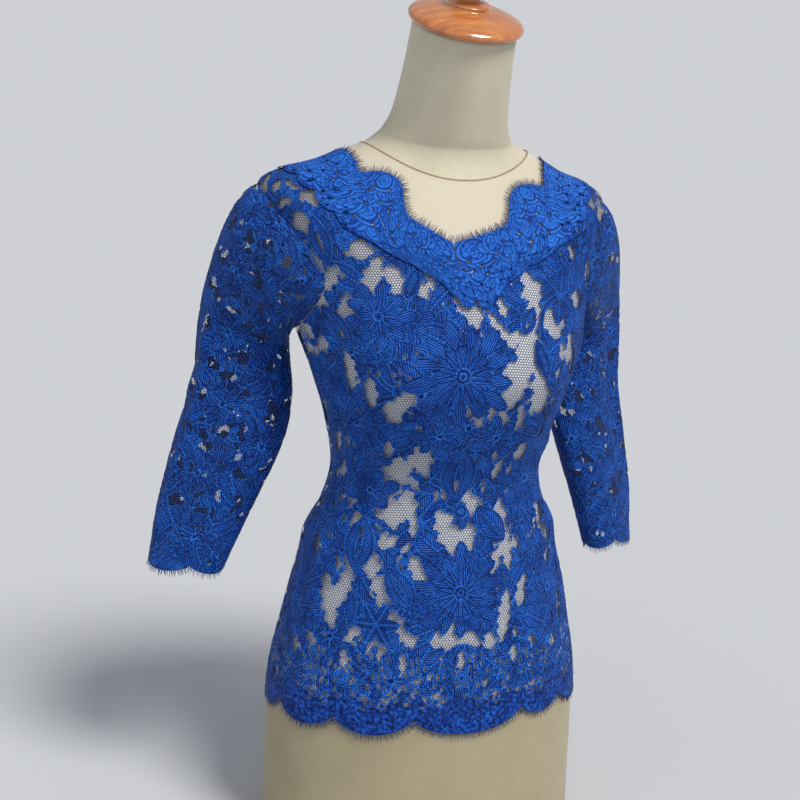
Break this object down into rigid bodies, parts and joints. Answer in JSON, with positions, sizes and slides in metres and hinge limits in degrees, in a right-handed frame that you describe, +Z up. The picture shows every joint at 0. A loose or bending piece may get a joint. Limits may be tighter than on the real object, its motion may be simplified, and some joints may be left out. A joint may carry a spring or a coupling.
{
  "type": "kebaya blouse on dress form",
  "caption": "Fitted lace kebaya blouse with three-quarter sleeves, scalloped V neckline and hem, worn by a limbless dress form with a wooden neck cap.",
  "frame": {"origin": "middle of the form's flat base, on the surface it stands on", "axes": "+Z up, the garment's front faces -Y, its left side is +X"},
  "size_m": [0.5666, 0.2557, 0.8679],
  "materials": {
    "lace": "matte corded floral lace",
    "border_lace": "matte dense scroll lace",
    "fringe": "fine loose threads",
    "tulle": "sheer nude tulle",
    "form_knit": "matte cream jersey cover",
    "cap_wood": "glossy varnish",
    "base_board": "plain sealed board",
    "zip_tape": "woven tape",
    "zip_metal": "satin enamel"
  },
  "bodies": {
    "stand": {"form_body": "form_knit", "base_plate": "base_board", "neck_cap": "cap_wood", "front": "lace", "back_left": "lace", "back_right": "lace", "yoke_front": "tulle", "yoke_back_left": "tulle", "yoke_back_right": "tulle", "neck_border_left": "border_lace", "neck_border_right": "border_lace", "sleeve_left": "lace", "sleeve_right": "lace", "hem_fringe": "fringe", "cuff_fringe_left": "fringe", "cuff_fringe_right": "fringe", "neck_fringe_left": "fringe", "neck_fringe_right": "fringe", "zip_tape": "zip_tape", "zip_slider": "zip_metal"},
    "pull": {"zip_pull": "zip_metal"}
  },
  "joints": [
    {"name": "zip_pull_hinge", "type": "hinge", "parent": "stand", "child": "pull", "pos_m": [0, 0.07624, 0.69679], "axis": [1, 0, 0], "range_deg": [0, 140]}
  ]
}
